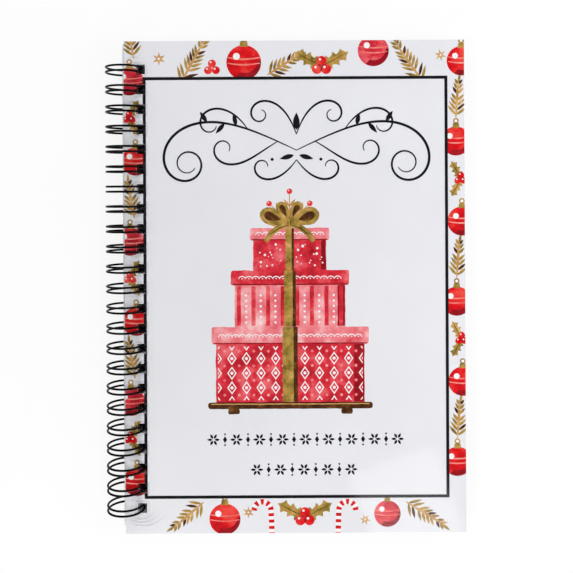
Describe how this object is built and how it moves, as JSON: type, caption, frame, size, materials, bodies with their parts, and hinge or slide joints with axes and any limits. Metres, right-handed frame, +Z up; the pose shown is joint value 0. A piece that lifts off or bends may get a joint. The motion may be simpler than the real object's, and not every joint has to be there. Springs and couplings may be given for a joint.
{
  "type": "gift card holder",
  "caption": "Wire-bound book with laminated covers and card leaves that carry clear pockets for gift cards, turning on a black twin-loop wire.",
  "frame": {"origin": "middle of the closed book's outline, on the plane that the wire's loops rest on", "axes": "+X from the spine to the fore-edge, +Y from the tail to the head, +Z up through the front cover"},
  "size_m": [0.153, 0.209, 0.0161],
  "materials": {
    "wire": "glossy black lacquer",
    "cover_board": "smooth white printed board",
    "cover_film": "clear glossy laminating film",
    "leaf_card": "smooth white printed card",
    "pocket_film": "clear soft film",
    "pocket_seam": "frosted weld"
  },
  "bodies": {
    "binding": {"wire_binding": "wire", "back_cover_board": "cover_board", "back_cover_outer_film": "cover_film", "back_cover_inner_film": "cover_film"},
    "leaf_4": {"leaf_4_card": "leaf_card", "leaf_4_upper_pocket_back": "pocket_film", "leaf_4_upper_pocket_front": "pocket_film", "leaf_4_upper_pocket_seam": "pocket_seam", "leaf_4_lower_pocket_back": "pocket_film", "leaf_4_lower_pocket_front": "pocket_film", "leaf_4_lower_pocket_seam": "pocket_seam"},
    "leaf_3": {"leaf_3_card": "leaf_card", "leaf_3_upper_pocket_back": "pocket_film", "leaf_3_upper_pocket_front": "pocket_film", "leaf_3_upper_pocket_seam": "pocket_seam", "leaf_3_lower_pocket_back": "pocket_film", "leaf_3_lower_pocket_front": "pocket_film", "leaf_3_lower_pocket_seam": "pocket_seam"},
    "leaf_2": {"leaf_2_card": "leaf_card", "leaf_2_upper_pocket_back": "pocket_film", "leaf_2_upper_pocket_front": "pocket_film", "leaf_2_upper_pocket_seam": "pocket_seam", "leaf_2_lower_pocket_back": "pocket_film", "leaf_2_lower_pocket_front": "pocket_film", "leaf_2_lower_pocket_seam": "pocket_seam"},
    "leaf_1": {"leaf_1_card": "leaf_card", "leaf_1_upper_pocket_back": "pocket_film", "leaf_1_upper_pocket_front": "pocket_film", "leaf_1_upper_pocket_seam": "pocket_seam", "leaf_1_lower_pocket_back": "pocket_film", "leaf_1_lower_pocket_front": "pocket_film", "leaf_1_lower_pocket_seam": "pocket_seam"},
    "front_cover": {"front_cover_board": "cover_board", "front_cover_outer_film": "cover_film", "front_cover_inner_film": "cover_film"}
  },
  "joints": [
    {"name": "leaf_4_turn", "type": "hinge", "parent": "binding", "child": "leaf_4", "pos_m": [-0.06847, 0, 0.00805], "axis": [0, -1, 0], "range_deg": [0, 180]},
    {"name": "leaf_3_turn", "type": "hinge", "parent": "leaf_4", "child": "leaf_3", "pos_m": [-0.06847, 0, 0.00805], "axis": [0, -1, 0], "range_deg": [0, 180]},
    {"name": "leaf_2_turn", "type": "hinge", "parent": "leaf_3", "child": "leaf_2", "pos_m": [-0.06847, 0, 0.00805], "axis": [0, -1, 0], "range_deg": [0, 180]},
    {"name": "leaf_1_turn", "type": "hinge", "parent": "leaf_2", "child": "leaf_1", "pos_m": [-0.06847, 0, 0.00805], "axis": [0, -1, 0], "range_deg": [0, 180]},
    {"name": "front_cover_turn", "type": "hinge", "parent": "leaf_1", "child": "front_cover", "pos_m": [-0.06847, 0, 0.00805], "axis": [0, -1, 0], "range_deg": [0, 180]}
  ]
}
